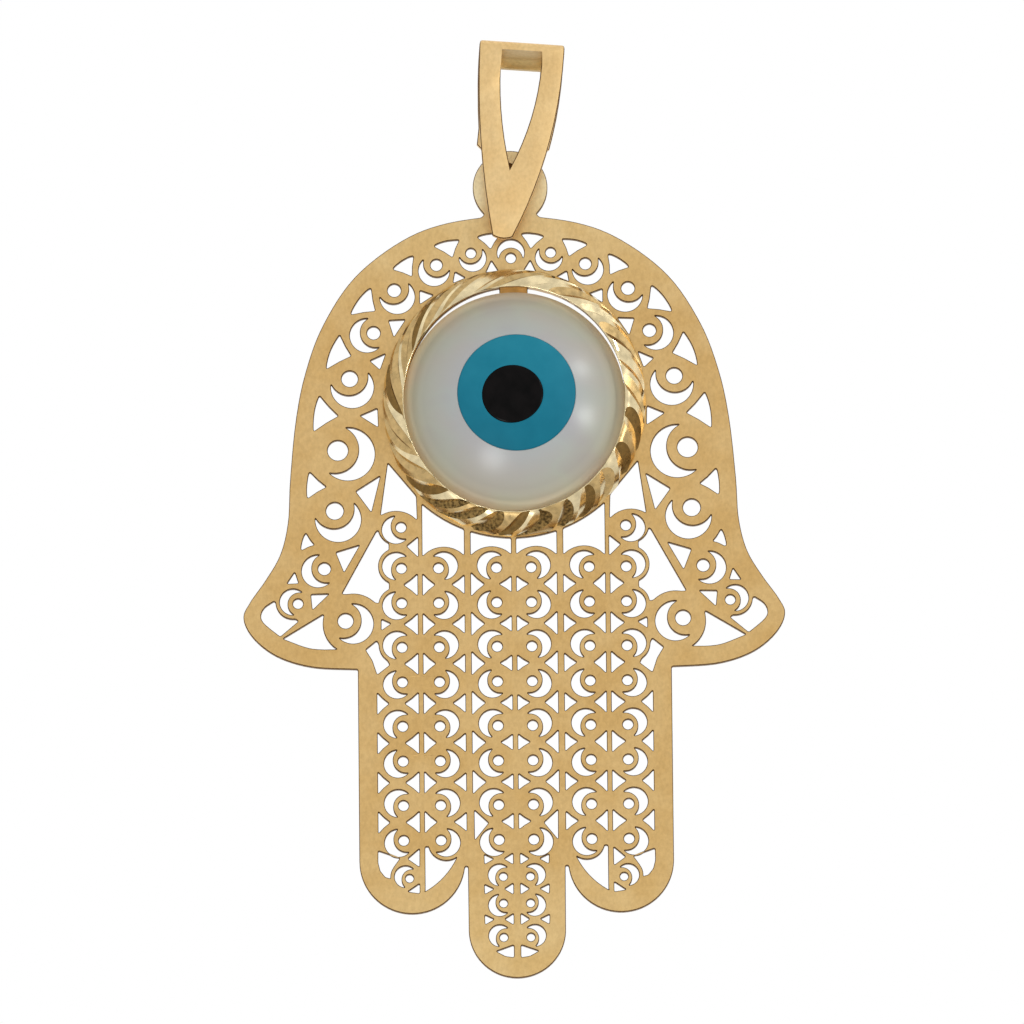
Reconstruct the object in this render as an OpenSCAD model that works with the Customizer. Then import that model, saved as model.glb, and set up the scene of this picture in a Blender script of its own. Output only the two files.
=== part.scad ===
// Hamsa pendant: a pierced sheet hand with a mother-of-pearl eye, hanging free from a folded bail.
// Millimetres. X is the wearer's left to right as seen, -Y faces the viewer, +Z is up.
// The origin is where the chain lies, at the top of the space inside the bail.

/* [Eye] */
// Diameter of the mother-of-pearl stone
stone_d = 12; // [11.4:0.1:12.3]
// Height of the stone's upright edge
stone_edge = 0.5; // [0.3:0.05:0.8]
// Rise of the dome above that edge
stone_dome = 2.4; // [1.6:0.1:2.8]
// Diameter of the blue ring let into the stone
iris_d = 6.45; // [5.6:0.05:7]
// Diameter of the black disc in the middle
pupil_d = 3.3; // [2.4:0.1:4]
// How deep the blue ring is let in
inlay_depth = 0.9; // [0.7:0.05:1.2]
// Blue ring's centre to the right of the stone's
iris_right = 0.12; // [-0.2:0.01:0.2]
// Blue ring's centre above the stone's
iris_up = 0.2; // [-0.2:0.01:0.25]
// Black disc's centre to the right of the stone's
pupil_right = -0.1; // [-0.3:0.01:0.3]
// Black disc's centre above the stone's
pupil_up = 0.04; // [-0.3:0.01:0.3]
// Fitting gap round each inlay
inlay_gap = 0.02; // [0.02:0.01:0.05]

/* [Collar] */
// Eye's centre to the right of the palm's middle
eye_right = 0.12; // [-0.2:0.02:0.2]
// Eye's centre above the palm's middle
eye_up = 0.04; // [-0.1:0.02:0.1]
// Gap between the stone's edge and the collar's wall, all round
stone_gap = 0.26; // [0.22:0.01:0.4]
// Gap between the stone's outline and the collar's front lip
lip_gap = 0.08; // [0.05:0.01:0.2]
// How far the stone has settled down in its collar
stone_drop = 0.06; // [0:0.02:0.12]
// Height of the collar above the sheet
collar_h = 1.4; // [1.2:0.1:1.6]
// Height of the collar's upright outer wall, below its sloping side
wall_h = 0.5; // [0.3:0.05:0.7]
// Width of the collar's flat front rim
rim_w = 0.32; // [0.25:0.01:0.4]
// Spread of the collar's sloping side
collar_spread = 0.79; // [0.5:0.01:0.9]
// Number of bright cuts round the collar
collar_cuts = 28; // [20:1:36]
// Depth of each bright cut
cut_depth = 0.12; // [0.05:0.01:0.16]
// Width of a seat tab under the stone
tab_w = 1.5; // [1:0.1:2]
// How far a seat tab reaches in under the stone
tab_reach = 0.85; // [0.6:0.05:1.2]

/* [Hand] */
// Thickness of the pierced sheet
sheet_t = 0.45; // [0.35:0.05:0.6]
// Half the width of the palm below the eye
palm_half = 12.24; // [11.8:0.1:13.2]
// Eye centre to the top of the palm
arch_h = 10.5; // [10.2:0.1:11.4]
// Eye centre to the underside of the thumbs
thumb_drop = 14.6; // [14:0.1:15.2]
// Width of the plain border
border_w = 1.05; // [0.9:0.05:1.2]
// Width of the plain band round the collar
band_w = 0.3; // [0.2:0.05:0.4]

/* [Fingers] */
// Half the width of the three fingers together
fingers_half = 8.55; // [8.3:0.05:9]
// Half the width of the middle finger
middle_half = 2.65; // [2.5:0.05:2.75]
// Eye centre down to the centre of an outer fingertip
outer_tip = 25.2; // [24.8:0.1:26]
// Eye centre down to the centre of the middle fingertip
middle_tip = 29; // [28.4:0.1:30]
// Gap that parts the fingertips
finger_gap = 0.15; // [0.1:0.01:0.25]

/* [Scrolls] */
// Wall round each scroll's crescent
scroll_wall = 0.23; // [0.18:0.01:0.3]
// Eye centre down to the first row of scrolls in the fingers
field_top = 8.92; // [8.8:0.05:9.3]
// Distance from row to row
row_pitch = 2.18; // [2.1:0.02:2.26]
// Radius of a crescent in the fingers
field_r = 0.765; // [0.68:0.01:0.8]
// Radius of a crescent in the fingertips
tip_r = 0.6; // [0.5:0.02:0.64]
// Distance from row to row in the middle fingertip
tip_pitch = 1.67; // [1.6:0.02:1.74]
// Width of the thin bars
thin_bar = 0.28; // [0.22:0.02:0.34]
// Width of the bars between the fingers
thick_bar = 0.4; // [0.34:0.02:0.46]

/* [Lobe] */
// Outer diameter of the round lobe that hangs on the bail
lobe_d = 4.08; // [3.8:0.05:4.4]
// Diameter of the hole in it
lobe_hole = 2.4; // [2.2:0.05:2.6]
// How far the hole's centre lies above the lobe's
hole_rise = 0.1; // [0:0.02:0.16]
// Eye centre up to the centre of the lobe
lobe_up = 11.97; // [11.8:0.05:12.4]

/* [Bail] */
// Thickness of the bail's strip
strip_t = 0.4; // [0.3:0.02:0.45]
// Depth of the bail from front to back
bail_depth = 4.4; // [4:0.1:5]
// Width of the bail at its top
bail_w = 4.66; // [4.2:0.1:5]
// Length of the front leg
front_leg = 11; // [10.2:0.1:11.4]
// Width of the front leg's end
tip_w = 1.1; // [0.9:0.05:1.4]
// How far that end is rounded out
end_rise = 0.14; // [0.08:0.02:0.3]
// How far a leg's edges curve out
leg_bulge = 0.46; // [0.4:0.02:0.54]
// How much more its right edge does than their mean
leg_bow = 0.14; // [0:0.01:0.16]
// Outside radius of the strip's front bend
front_bend = 0.5; // [0.47:0.01:0.9]
// Outside radius of its back bend
back_bend = 1.4; // [0.8:0.1:1.6]
// Top of the bail down to the shoulders of its back leg
shoulder = 5.3; // [5:0.1:6]
// How far the left shoulder stands out from the middle
shoulder_out = 1.91; // [1.86:0.01:1.96]
// Width of the tongue below the shoulders
tongue_w = 1.24; // [1:0.05:1.4]
// Width of the slot at its top
slot_w = 2.2; // [1.8:0.02:2.5]
// Length of the slot
slot_len = 6.58; // [5.8:0.02:7]
// Top of the bail down to the slot
slot_start = 0.5; // [0.42:0.02:0.6]
// The slot's middle to the right of the leg's
slot_right = 0.04; // [0:0.01:0.08]
// How much lower the slot starts in the back leg
back_slot = 0.34; // [0:0.02:0.5]
// Space inside the bail above the lobe's hole
hang_drop = 6.24; // [5.9:0.02:6.3]
// Room between the legs where the lobe hangs
throat = 1.55; // [1.5:0.05:1.8]
// Diameter of the hidden post through the lobe
post_d = 0.6; // [0.4:0.05:0.7]
// Running gap between the post and the lobe's hole
post_gap = 0.1; // [0.08:0.01:0.14]
// Lean of the bail to the right at its top, in degrees
lean = 6.3; // [0:0.1:8]
// How much less its fold leans, in degrees
fold_skew = 2.2; // [0:0.1:4]
// Turn of the bail about the upright line through the pivot, in degrees
bail_turn = 1; // [0:0.1:3]
// How far the pivot lies in front of the middle of the sheet, over the hand's balance
balance = 0.28; // [0:0.01:0.35]

/* [Hidden] */
$fn = 64;
// Overlap of parts that are soldered into one, and overshoot of cuts
bite = 0.15;
seat_gap = 0.02;

// Where the lobe hangs from the post, and the hand's own origin at the eye
pivot = [-hang_drop * sin(lean), strip_t - bail_depth / 2 + throat / 2, -hang_drop * cos(lean)];
hole_at = [0, lobe_up + hole_rise];
hole_top = hole_at.y + lobe_hole / 2;
hand_origin = [pivot.x, pivot.y + sheet_t / 2 + balance, pivot.z - hole_top];

// The eye's place in the hand's drawing, and the radii of the stone and of its collar, outwards
eye_at = [eye_right, eye_up];
stone_r = stone_d / 2;
lip_r = stone_r + lip_gap;
collar_in = stone_r + stone_gap;
rim_r = lip_r + rim_w;
collar_out = rim_r + collar_spread;
band_r = collar_out + band_w;
dome_r = (stone_r * stone_r + stone_dome * stone_dome) / (2 * stone_dome);
dome_top = stone_edge + stone_dome;
pupil_depth = 0.6 * inlay_depth;

// A place in the palm, from shares of its half width and of its height above or below the eye
function place(u, v) = [u * palm_half, v < 0 ? v * thumb_drop : v * arch_h];

// Right half of the hand's outline from the top to the fingers, as such shares: [across, up]
RIM = [
    [0, 1], [0.285, 0.955], [0.49, 0.861], [0.699, 0.671], [0.842, 0.418], [0.922, 0.166],
    [0.966, -0.062], [0.993, -0.288], [1.003, -0.44], [1.038, -0.562], [1.105, -0.66],
    [1.176, -0.744], [1.205, -0.805], [1.16, -0.88], [1.055, -0.949], [0.9, -0.99], [0.698, -1]
];

// The scrolls of the palm, right half, from the top round to the thumb:
// [across, up, crescent radius as a share of palm_half, way the crescent faces in degrees]
SCROLLS = [
    [0, 0.796, 0.0605, 90], [0.17, 0.769, 0.06, -109], [0.343, 0.705, 0.0694, -67],
    [0.508, 0.57, 0.078, -115], [0.644, 0.367, 0.0772, -20], [0.712, 0.096, 0.0956, -107],
    [0.734, -0.185, 0.1197, -160], [0.78, -0.432, 0.1021, -111], [0.871, -0.627, 0.0735, -19],
    [0.984, -0.743, 0.0592, 20], [0.717, -0.827, 0.09, -160]
];
// Opening of the gap between each scroll of the chain and the next, against the border:
// [degrees back towards the one before, degrees on towards the next]
OPENINGS = [[40, 40], [39, 41], [40, 34], [42, 46], [46, 44], [44, 36], [34, 40], [34, 44]];
// The chain ends at the thumb, whose tip holds one scroll; the big one lies below it
CHAIN_LAST = 8;
THUMB_INDEX = 9;
HUB_INDEX = 10;

// Gaps of the thumb and of the side that follow no rule, as corners [across, up]
THUMB_GAPS = [
    [[1.068, -0.739], [1.111, -0.764], [1.127, -0.795], [1.111, -0.825], [1.042, -0.873], [0.961, -0.816]],
    [[0.85, -0.791], [1.03, -0.8815], [0.931, -0.914], [0.866, -0.923], [0.789, -0.923], [0.7, -0.85]],
    [[0.904, -0.715], [0.823, -0.714], [0.897, -0.773]],
    [[0.975, -0.63], [1.011, -0.674], [0.959, -0.673]],
    [[0.789, -0.558], [0.685, -0.529], [0.757, -0.634]]
];

// Columns of the fingers as shares of fingers_half, and the way each faces: 1 outwards, -1 inwards
COLUMNS = [[0.143, 1], [0.447, -1], [0.749, 1]];
column_x = [for (c = COLUMNS) c[0] * fingers_half];
// Where the scrolls stand between the bars, and the middles of the thick and the thin bar
column_r = field_r + scroll_wall;
thick_x = (column_x[0] + column_x[1]) / 2;
thin_x = (column_x[1] + column_x[2]) / 2;
rows = floor((outer_tip - field_top) / row_pitch) + 1;
function row_z(i) = -field_top - i * row_pitch;

// The fingertips: radius of an outer one, its own scroll, and the first row of the middle one's
outer_r = (fingers_half - middle_half - finger_gap) / 2;
tip_centre = [fingers_half - outer_r, -outer_tip];
tip_scroll = tip_centre + outer_r * [0.13, -0.29];
middle_row = row_z(rows - 1) - tip_pitch * 1.08;

// Points of a smooth curve through the knots k, with n steps from knot to knot
function spline_at(a, b, c, d, t) = 0.5 * (2 * b + (c - a) * t + (2 * a - 5 * b + 4 * c - d) * t * t
    + (3 * b - a - 3 * c + d) * t * t * t);
function smooth(k, n) = let (m = len(k) - 1) concat(
    [for (i = [0:m - 1], j = [0:n - 1])
        spline_at(k[max(i - 1, 0)], k[i], k[i + 1], k[min(i + 2, m)], j / n)],
    [k[m]]);
function flip(p) = [for (i = [len(p) - 1:-1:0]) [-p[i].x, p[i].y]];
function unit(v) = v / norm(v);
function turn(v, a) = [v.x * cos(a) - v.y * sin(a), v.x * sin(a) + v.y * cos(a)];
// The same curve moved inwards by d
function inset(p, d) = [for (i = [1:len(p) - 2]) p[i] + d * turn(unit(p[i + 1] - p[i - 1]), -90)];

rim_points = smooth([for (s = RIM) place(s.x, s.y)], 4);
window_points = inset(rim_points, border_w);

function scroll_place(i) = place(SCROLLS[i][0], SCROLLS[i][1]);
function scroll_r(i) = SCROLLS[i][2] * palm_half;

// Stands a flat drawing up: its y becomes z, and the sheet grows from y = 0 towards the viewer
module stand(t) {
    rotate([90, 0, 0]) linear_extrude(t) children();
}

// Puts a shape turned about Z on the eye's axis, with its z towards the viewer
module face_viewer(back) {
    translate([0, back, 0]) rotate([90, 0, 0]) children();
}

module both_sides() {
    children();
    mirror([1, 0, 0]) children();
}

module disc(p, r) {
    translate(p) circle(r);
}

// A crescent: one circle bitten by another that lies away from the way it faces
module crescent(p, r, way, bite_shift, bite_r) {
    translate(p) rotate(way) difference() {
        circle(r);
        translate([-bite_shift * r, 0]) circle(bite_r * r);
    }
}

module palm_crescent(i) {
    crescent(scroll_place(i), scroll_r(i), SCROLLS[i][3], 0.52, 0.91);
}

module finger_crescent(p, r, way) {
    crescent(p, r, way, 0.63, 0.95);
}

// Gap between two neighbours of the palm's chain of scrolls and the border
module border_gap(i) {
    p = scroll_place(i);
    q = scroll_place(i + 1);
    ri = scroll_r(i);
    rj = scroll_r(i + 1);
    waist = p + (q - p) * ri / (ri + rj);
    out = turn(unit(q - p), 90);
    apex = waist + out * 0.25 * (ri + rj);
    reach = 3 * (ri + rj);
    difference() {
        intersection() {
            polygon([
                apex, apex + reach * turn(out, -OPENINGS[i][1]), apex + reach * turn(out, OPENINGS[i][0])
            ]);
            polygon(concat(window_points, [[0, -thumb_drop]]));
        }
        disc(p, ri + scroll_wall);
        disc(q, rj + scroll_wall);
    }
}

// A window under the eye: a strip between two bars, cut by the band and by the scrolls below it
module strip_window(x0, x1, low) {
    difference() {
        translate([x0, low]) square([x1 - x0, -low - stone_r / 2]);
        circle(band_r);
        for (x = column_x) disc([x, row_z(0)], column_r);
        disc([column_x[2], row_z(-1)], column_r);
    }
}

module eye_windows() {
    foot = row_z(0) + 0.55 * column_r;
    strip_window(thin_bar / 2, thick_x - thick_bar / 2, foot);
    strip_window(thick_x + thick_bar / 2, thin_x - thin_bar / 2, foot);
    difference() {
        strip_window(thin_x + thin_bar / 2, thin_x + 2.2 * column_r, foot + row_pitch);
        polygon([place(0.557, -0.2), place(0.597, -0.44), place(0.8, -0.44), place(0.8, -0.2)]);
    }
}

// The long gap between the thumb and the fingers, and the one below it
module side_gaps() {
    waist = column_x[2] + 0.41 * column_r;
    difference() {
        polygon([
            place(0.609, -0.477), place(0.766, -0.714), place(0.704, -0.7185), place(0.616, -0.755),
            [waist, row_z(1)], [waist, place(0, -0.477).y]
        ]);
        for (i = [-1:1]) disc([column_x[2], row_z(i)], column_r);
    }
    difference() {
        polygon([
            place(0.613, -0.8925), place(0.6626, -0.926), place(0.633, -0.966), place(0.612, -1.02),
            [waist, row_z(2.5)]
        ]);
        for (i = [2:3]) disc([column_x[2], row_z(i)], column_r);
    }
}

// The two large gaps in an outer fingertip, one each side of its bar and its scroll
module tip_gaps() {
    side = fingers_half - border_w;
    bar = thin_x - thin_bar / 2;
    difference() {
        intersection() {
            disc(tip_centre + outer_r * [-0.11, 0.12], 0.73 * outer_r);
            union() {
                translate([column_x[0], -outer_tip - outer_r]) square([bar - column_x[0], 1.25 * outer_r]);
                polygon([for (c = [[0, 0.25], [-0.38, 0], [-0.3, -0.48], [-0.3, -1], [0, -1]])
                    [side, -outer_tip] + outer_r * c]);
            }
        }
        disc([column_x[1], row_z(rows - 1)], column_r);
        disc(tip_scroll, tip_r + scroll_wall);
    }
}

module palm_gaps() {
    palm_crescent(0);
    both_sides() {
        for (i = [1:len(SCROLLS) - 1]) palm_crescent(i);
        for (i = [0:CHAIN_LAST - 1]) border_gap(i);
        difference() {
            for (g = THUMB_GAPS) polygon([for (c = g) place(c.x, c.y)]);
            disc(scroll_place(HUB_INDEX), scroll_r(HUB_INDEX) * 1.51);
            disc(scroll_place(THUMB_INDEX), scroll_r(THUMB_INDEX) + scroll_wall);
        }
        eye_windows();
        side_gaps();
    }
}

module finger_gaps() {
    tilt = 25;
    both_sides() {
        for (c = [0:2], i = [0:rows - 1]) {
            up = i % 2 == 0 ? tilt : -tilt;
            finger_crescent([column_x[c], row_z(i)], field_r, COLUMNS[c][1] > 0 ? up : 180 - up);
        }
        finger_crescent([column_x[2], row_z(-0.92)], field_r, -tilt);
        finger_crescent(tip_scroll, tip_r, tilt);
        for (i = [0:2])
            finger_crescent([middle_half * 0.36, middle_row - i * tip_pitch], tip_r, i == 1 ? -tilt : tilt);
        tip_gaps();
    }
}

// The hand as it is cut from the sheet, before it is pierced
module hand_outline() {
    polygon(concat(rim_points, flip(rim_points)));
    translate([-fingers_half, -outer_tip]) square([2 * fingers_half, outer_tip]);
    translate([-middle_half, -middle_tip]) square([2 * middle_half, middle_tip]);
    translate([-middle_half - 2 * finger_gap, -outer_tip - 2 * finger_gap])
        square([2 * (middle_half + 2 * finger_gap), outer_tip]);
    disc([0, -middle_tip], middle_half);
    both_sides() disc(tip_centre, outer_r);
    disc([0, lobe_up], lobe_d / 2);
}

module seat_tabs() {
    for (a = [0:90:270]) rotate(a)
        translate([-tab_w / 2, stone_r - tab_reach]) square([tab_w, tab_reach + stone_gap + bite * 2]);
}

module sheet_drawing() {
    difference() {
        hand_outline();
        palm_gaps();
        finger_gaps();
        disc(hole_at, lobe_hole / 2);
        disc(eye_at, collar_in + bite);
    }
    translate(eye_at) seat_tabs();
}

// The collar round the eye, whose sloping side is shaved by slanting bright cuts. Its inner wall leans
// in over the stone's edge.
module collar() {
    slope = atan(collar_spread / (collar_h - wall_h));
    root = sheet_t - bite / 3;
    cut_w = 1.1 * 2 * PI * collar_out / collar_cuts;
    difference() {
        rotate_extrude() polygon([
            [collar_in, -root], [collar_out, -root], [collar_out, wall_h], [rim_r, collar_h],
            [lip_r, collar_h], [collar_in, stone_edge + stone_gap / 2]
        ]);
        for (i = [0:collar_cuts - 1]) rotate(i * 360 / collar_cuts)
            translate([(collar_out + rim_r) / 2, 0, (collar_h + wall_h) / 2])
                rotate([0, -slope, 10]) rotate([35, 0, 0])
                    translate([-cut_depth, -cut_w / 2, -1.6 * collar_h]) cube([cut_w, cut_w, 3.2 * collar_h]);
    }
}

module hand_plate() {
    color("goldenrod") translate(hand_origin) {
        stand(sheet_t) sheet_drawing();
        translate([eye_at.x, 0, eye_at.y]) face_viewer(-sheet_t) collar();
    }
}

// The stone's full dome, from which the shell and the inlays are cut
module dome(proud) {
    intersection() {
        cylinder(h = 2 * dome_top, r = stone_r);
        translate([0, 0, dome_top + proud - dome_r]) sphere(dome_r, $fn = 144);
    }
}

module set_stone() {
    translate(hand_origin) translate([eye_at.x, 0, eye_at.y - stone_drop])
        face_viewer(-sheet_t - seat_gap) children();
}

// An upright disc of the inlay, grown by extra in radius, from the height low up past the dome
module iris_disc(low, extra) {
    translate([iris_right, iris_up, low]) cylinder(h = 2 * inlay_depth, r = iris_d / 2 + extra);
}

module pupil_disc(low, extra) {
    translate([pupil_right, pupil_up, low]) cylinder(h = 2 * inlay_depth, r = pupil_d / 2 + extra);
}

module eye_shell() {
    color("ghostwhite") set_stone() difference() {
        dome(0);
        iris_disc(dome_top - inlay_depth, inlay_gap);
    }
}

module eye_iris() {
    color("darkcyan") set_stone() difference() {
        intersection() {
            dome(0);
            iris_disc(dome_top - inlay_depth + inlay_gap, 0);
        }
        pupil_disc(dome_top - pupil_depth, inlay_gap);
    }
}

module eye_pupil() {
    color("black") set_stone() intersection() {
        dome(inlay_gap);
        pupil_disc(dome_top - pupil_depth + inlay_gap, 0);
    }
}

// The wide arc from w0 beside the axis down to w1 at s below, which curves out by h: radius and centre
function edge_r(w0, w1, s, h) = ((w0 - w1) * (w0 - w1) + s * s) / (8 * h) + h / 2;
function edge_c(w0, w1, s, h) = [(w0 + w1) / 2, -s / 2]
    + (edge_r(w0, w1, s, h) - h) * unit([-s, w0 - w1]);

// A blade that is w0 wide each side at the top and narrows along two such arcs to w1 at s below it, and
// on below that. Its right edge curves out by bow more than h, and its left edge by as much less.
module blade(w0, w1, s, h, bow) {
    left = edge_c(w0, w1, s, h - bow);
    intersection() {
        translate([-left.x, left.y]) circle(edge_r(w0, w1, s, h - bow), $fn = 360);
        translate(edge_c(w0, w1, s, h + bow)) circle(edge_r(w0, w1, s, h + bow), $fn = 360);
        translate([-w0 - bite, -s - 2 * bite]) square([2 * (w0 + bite), s + 3 * bite]);
    }
}

module leg_drawing() {
    blade(bail_w / 2, tip_w / 2, front_leg - end_rise, leg_bulge, leg_bow);
}

// The tapered slot, moved down by drop
module slot_drawing(drop) {
    intersection() {
        translate([slot_right, -slot_start - drop])
            blade(slot_w / 2, 0, slot_len, 0.7 * leg_bulge, 0.4 * leg_bow);
        rotate(fold_skew) translate([-slot_w, -slot_start - drop - 1.1 * slot_len])
            square([2 * slot_w, 1.1 * slot_len]);
    }
}

module front_drawing() {
    end_r = (tip_w * tip_w / 4 + end_rise * end_rise) / (2 * end_rise);
    difference() {
        intersection() {
            leg_drawing();
            union() {
                translate([0, end_r - front_leg]) circle(end_r);
                translate([-bail_w, end_r - front_leg]) square([2 * bail_w, front_leg]);
            }
        }
        slot_drawing(0);
    }
}

// The back leg has the front's outline, stands out at its left shoulder and then narrows to a tongue
module back_drawing() {
    tongue_start = shoulder + 1.1 * tongue_w;
    tongue_end = strip_t - back_low.y;
    right = [[bail_w, 2 * bite], [bail_w, -0.55 * shoulder], [tongue_w / 2, -tongue_start],
        [tongue_w / 2, -tongue_end]];
    difference() {
        intersection() {
            union() {
                leg_drawing();
                polygon([
                    [0, -0.55 * shoulder], [bite - shoulder_out, -0.55 * shoulder],
                    [-shoulder_out, -0.84 * shoulder], [-shoulder_out, -1.2 * shoulder], [0, -1.2 * shoulder]
                ]);
            }
            polygon(concat(right, flip(right)));
        }
        slot_drawing(back_slot);
    }
}

// Points of an arc of radius r round c, from angle a to angle b
function arc(c, r, a, b, n) = [for (i = [0:n]) c + r * turn([1, 0], a + (b - a) * i / n)];

// Where the front and the back leg's inner faces lie beside the lobe, and the back leg's outer low corner
front_face = -bail_depth / 2 + strip_t;
back_face = front_face + throat;
back_low = [back_face + strip_t, -hang_drop - post_gap - 1.2 * post_d];

// Side view of the strip's loop, in [y, z], moved inwards by d
module loop_drawing(d) {
    front_c = [-bail_depth / 2 + front_bend, strip_t - front_bend];
    back_c = [bail_depth / 2 - back_bend, strip_t - back_bend];
    reach = back_low - back_c;
    heading = atan2(reach.y, reach.x);
    swing = acos(back_bend / norm(reach));
    low = -front_leg - bite;
    polygon(concat(
        [[-bail_depth / 2 + d, low]],
        arc(front_c, front_bend - d, 180, 90, 6),
        arc(back_c, back_bend - d, 90, heading + swing, 10),
        [back_low - d * turn([1, 0], heading + swing)],
        [[back_low.x - d, low]]
    ));
}

// The bail: a strip folded over the chain, its legs cut to shape in the front view, with the hidden post
module bail() {
    split = (front_face + back_face) / 2;
    color("gold") translate(pivot) rotate([0, 0, bail_turn]) translate(-pivot) rotate([0, lean, 0]) {
        intersection() {
            rotate([0, -fold_skew, 0]) translate([-bail_w, 0, 0]) rotate([90, 0, 90])
                linear_extrude(2 * bail_w) difference() {
                    loop_drawing(0);
                    loop_drawing(strip_t);
                }
            translate([0, 0, strip_t]) {
                translate([0, split, 0]) stand(bail_depth) front_drawing();
                translate([0, split + bail_depth, 0]) stand(bail_depth) back_drawing();
            }
        }
        translate([0, back_face + strip_t * 0.8, -hang_drop - post_gap - post_d / 2]) rotate([90, 0, 0])
            cylinder(h = throat + strip_t * 1.2, d = post_d, $fn = 32);
    }
}

bail();
hand_plate();
eye_shell();
eye_iris();
eye_pupil();
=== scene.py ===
# %% [markdown]
# # A pierced hand pendant with a pearl eye
# The pendant is a hand cut from thin gold-plated sheet, pierced all over with small scrolls. A domed
# pearl eye sits in a collar of bright cuts, and a folded strip, the bail, carries the hand on its chain.
# This lesson dresses the plain solid model. The sheet is drawn again as one flat line drawing with every
# small gap in it, the collar gets its bright cuts, and each metal and stone gets its own finish.

# %% Load the solid model
import bpy
import bmesh
import math
import random
from mathutils import Matrix, Vector, geometry


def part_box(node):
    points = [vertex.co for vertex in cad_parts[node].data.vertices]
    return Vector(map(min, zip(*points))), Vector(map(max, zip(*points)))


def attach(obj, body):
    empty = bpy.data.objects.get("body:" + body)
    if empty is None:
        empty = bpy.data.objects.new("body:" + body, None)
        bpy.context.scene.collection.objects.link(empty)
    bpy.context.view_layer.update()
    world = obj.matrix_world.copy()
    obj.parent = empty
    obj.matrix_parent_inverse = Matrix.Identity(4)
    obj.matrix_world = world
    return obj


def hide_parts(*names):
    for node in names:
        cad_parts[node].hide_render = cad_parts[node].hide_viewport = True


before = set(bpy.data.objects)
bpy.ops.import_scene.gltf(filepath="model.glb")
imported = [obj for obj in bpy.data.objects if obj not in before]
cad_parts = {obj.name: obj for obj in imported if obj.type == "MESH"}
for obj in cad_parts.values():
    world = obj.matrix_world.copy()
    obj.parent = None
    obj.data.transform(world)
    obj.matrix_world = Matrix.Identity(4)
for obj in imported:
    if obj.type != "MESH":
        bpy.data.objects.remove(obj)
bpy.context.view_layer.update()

# %% [markdown]
# ## Where the eye is
# Every piece of the hand is measured from the centre of the eye. The drawing below is in millimetres,
# as a maker would draw it, and each finished mesh is brought down to metres and put in its place.
# The place comes from the solid model, so the dressed hand always lies where the solid one does.

# %% Find the eye on the solid model
MM = 0.001
LOBE_UP, LOBE_R = 11.97, 2.04
STONE_RAISED = 0.04     # the pearl is set this much higher than the middle of the solid one

plate_low, plate_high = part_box("hand_plate")
stone_low, stone_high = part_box("eye_shell")
eye_x = (plate_low.x + plate_high.x) / 2
eye_z = plate_high.z - (LOBE_UP + LOBE_R) * MM
sheet_back = plate_high.y
hand_at = (eye_x, eye_z)
stone_at = ((stone_low.x + stone_high.x) / 2, (stone_low.z + stone_high.z) / 2 + STONE_RAISED * MM)
print("eye at", [round(v / MM, 2) for v in (eye_x, sheet_back, eye_z)], "mm")


def stand_up(mesh, at, front_y):
    """Turns a drawing in XY with its front towards +Z into a standing piece that faces the viewer."""
    place = Matrix.Translation((at[0], front_y, at[1]))
    mesh.transform(place @ Matrix.Rotation(math.radians(90), 4, "X") @ Matrix.Scale(MM, 4))
    return mesh


def mesh_from(bm, name):
    """The finished mesh of a bmesh, which is then freed."""
    mesh = bpy.data.meshes.new(name)
    bm.to_mesh(mesh)
    bm.free()
    return mesh


def show(name, mesh, *materials):
    """Makes a piece from a finished mesh."""
    piece = bpy.data.objects.new(name, mesh)
    bpy.context.scene.collection.objects.link(piece)
    for material in materials:
        piece.data.materials.append(material)
    print(name, len(mesh.polygons), "faces")
    return piece


# %% [markdown]
# ## Finishes
# A finish is a small network of nodes. The sheet is satin gold: a fine grain from the finishing wheel,
# with patches where the plating is a shade redder, and painted light and shade by height. The cut edges
# are darker: the saw leaves them rough, and their dark colour is also painted shade along every outline.
# The bright cuts are polished, and their facets are painted in lit and shaded copies of one gold. The
# numbers that are the same all over are set on the shader itself, and only colour, roughness and the
# bump come through nodes.

# %% Node helpers
def finish(name, **sockets):
    """A new material whose shader has these values, and its node tree."""
    material = bpy.data.materials.new(name)
    material.use_nodes = True
    shader = material.node_tree.nodes["Principled BSDF"]
    for socket, value in sockets.items():
        shader.inputs[socket.replace("_", " ")].default_value = value
    return material, material.node_tree, shader


def object_pattern(tree, stretch=(1, 1, 1), centre=(0, 0, 0)):
    """Object coordinates, moved so that centre is the origin and then stretched."""
    where = tree.nodes.new("ShaderNodeTexCoord")
    mapping = tree.nodes.new("ShaderNodeMapping")
    mapping.inputs["Scale"].default_value = stretch
    mapping.inputs["Location"].default_value = [-c * s for c, s in zip(centre, stretch)]
    tree.links.new(where.outputs["Object"], mapping.inputs["Vector"])
    return mapping.outputs["Vector"]


def cloud(tree, vector, size, detail):
    """A soft noise with features about size metres across."""
    node = tree.nodes.new("ShaderNodeTexNoise")
    node.inputs["Scale"].default_value = 1 / size
    node.inputs["Detail"].default_value = detail
    tree.links.new(vector, node.inputs["Vector"])
    return node.outputs["Fac"]


def ramp(tree, value, *stops):
    """Turns a value into a colour that runs through the stops, each (position, colour)."""
    node = tree.nodes.new("ShaderNodeValToRGB")
    points = node.color_ramp.elements
    while len(points) < len(stops):
        points.new(0.5)
    for point, (position, colour) in zip(points, stops):
        point.position = position
        point.color = (*colour, 1)
    tree.links.new(value, node.inputs["Fac"])
    return node.outputs["Color"]


def grey(value):
    return (value, value, value)


def multiply(tree, first, second):
    """One colour darkened by another."""
    node = tree.nodes.new("ShaderNodeMix")
    node.data_type, node.blend_type = "RGBA", "MULTIPLY"
    node.inputs["Factor"].default_value = 1.0
    tree.links.new(first, node.inputs["A"])
    tree.links.new(second, node.inputs["B"])
    return node.outputs["Result"]


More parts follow.
